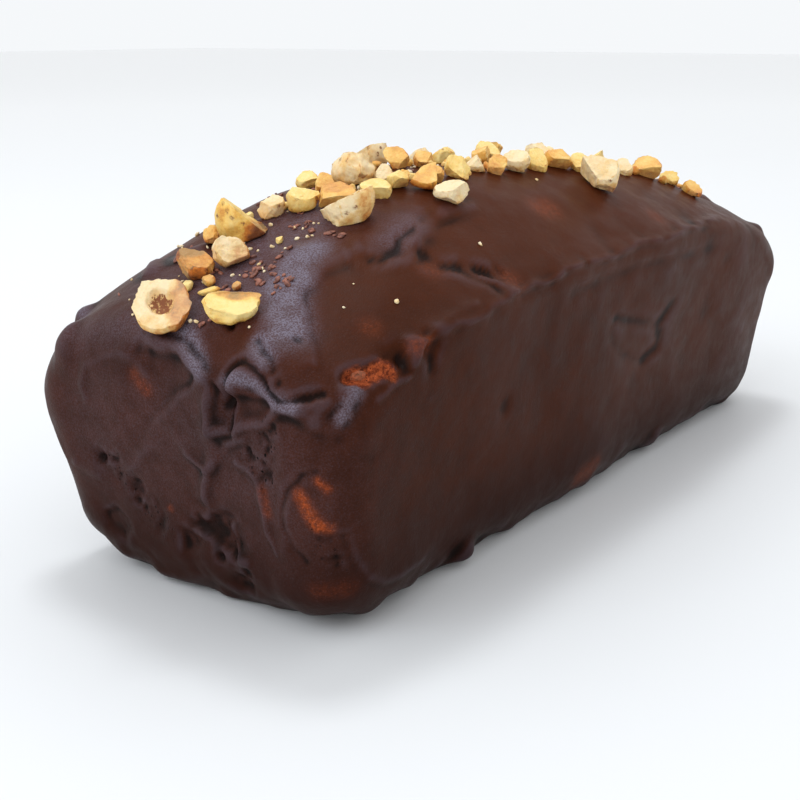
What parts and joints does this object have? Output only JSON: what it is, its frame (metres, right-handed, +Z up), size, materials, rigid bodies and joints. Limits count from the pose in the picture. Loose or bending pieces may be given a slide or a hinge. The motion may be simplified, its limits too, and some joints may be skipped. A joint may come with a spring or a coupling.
{
  "type": "chocolate-coated loaf cake",
  "caption": "Domed loaf cake under a thin poured chocolate coat with folds and pits, a band of broken roasted hazelnuts along its crown.",
  "frame": {"origin": "middle of the underside, on the surface the loaf stands on", "axes": "+X along the loaf from the end with the folded coat to the far end, +Y across it away from the side with the chipped crease, +Z up"},
  "size_m": [0.2555, 0.0995, 0.0968],
  "materials": {
    "chocolate": "satin dark chocolate with a faint bloom",
    "sponge": "matt crumb",
    "hazelnut_cream": "matt broken nut",
    "hazelnut_gold": "matt golden roasted nut",
    "hazelnut_toasted": "matt dark roasted nut"
  },
  "bodies": {
    "root": {"sponge": "sponge", "chocolate_coat": "chocolate", "hazelnut_01": "hazelnut_cream", "hazelnut_02": "hazelnut_gold", "hazelnut_03": "hazelnut_toasted", "hazelnut_04": "hazelnut_cream", "hazelnut_05": "hazelnut_gold", "hazelnut_06": "hazelnut_toasted", "hazelnut_07": "hazelnut_cream", "hazelnut_08": "hazelnut_gold", "hazelnut_09": "hazelnut_toasted", "hazelnut_10": "hazelnut_cream", "hazelnut_11": "hazelnut_gold", "hazelnut_12": "hazelnut_toasted", "hazelnut_13": "hazelnut_cream", "hazelnut_14": "hazelnut_gold", "hazelnut_15": "hazelnut_toasted", "hazelnut_16": "hazelnut_cream", "hazelnut_17": "hazelnut_gold", "hazelnut_18": "hazelnut_toasted", "hazelnut_19": "hazelnut_cream", "hazelnut_20": "hazelnut_gold", "hazelnut_21": "hazelnut_toasted", "hazelnut_22": "hazelnut_cream", "hazelnut_23": "hazelnut_gold", "hazelnut_24": "hazelnut_toasted", "hazelnut_25": "hazelnut_cream", "hazelnut_26": "hazelnut_gold", "hazelnut_27": "hazelnut_toasted", "hazelnut_28": "hazelnut_cream", "hazelnut_29": "hazelnut_gold", "hazelnut_30": "hazelnut_toasted", "hazelnut_31": "hazelnut_cream", "hazelnut_32": "hazelnut_gold", "hazelnut_33": "hazelnut_toasted", "hazelnut_34": "hazelnut_cream", "hazelnut_35": "hazelnut_gold", "hazelnut_36": "hazelnut_toasted", "hazelnut_37": "hazelnut_cream", "hazelnut_38": "hazelnut_gold", "hazelnut_39": "hazelnut_toasted", "hazelnut_40": "hazelnut_cream", "hazelnut_41": "hazelnut_gold", "hazelnut_42": "hazelnut_toasted", "hazelnut_43": "hazelnut_cream"}
  },
  "joints": []
}
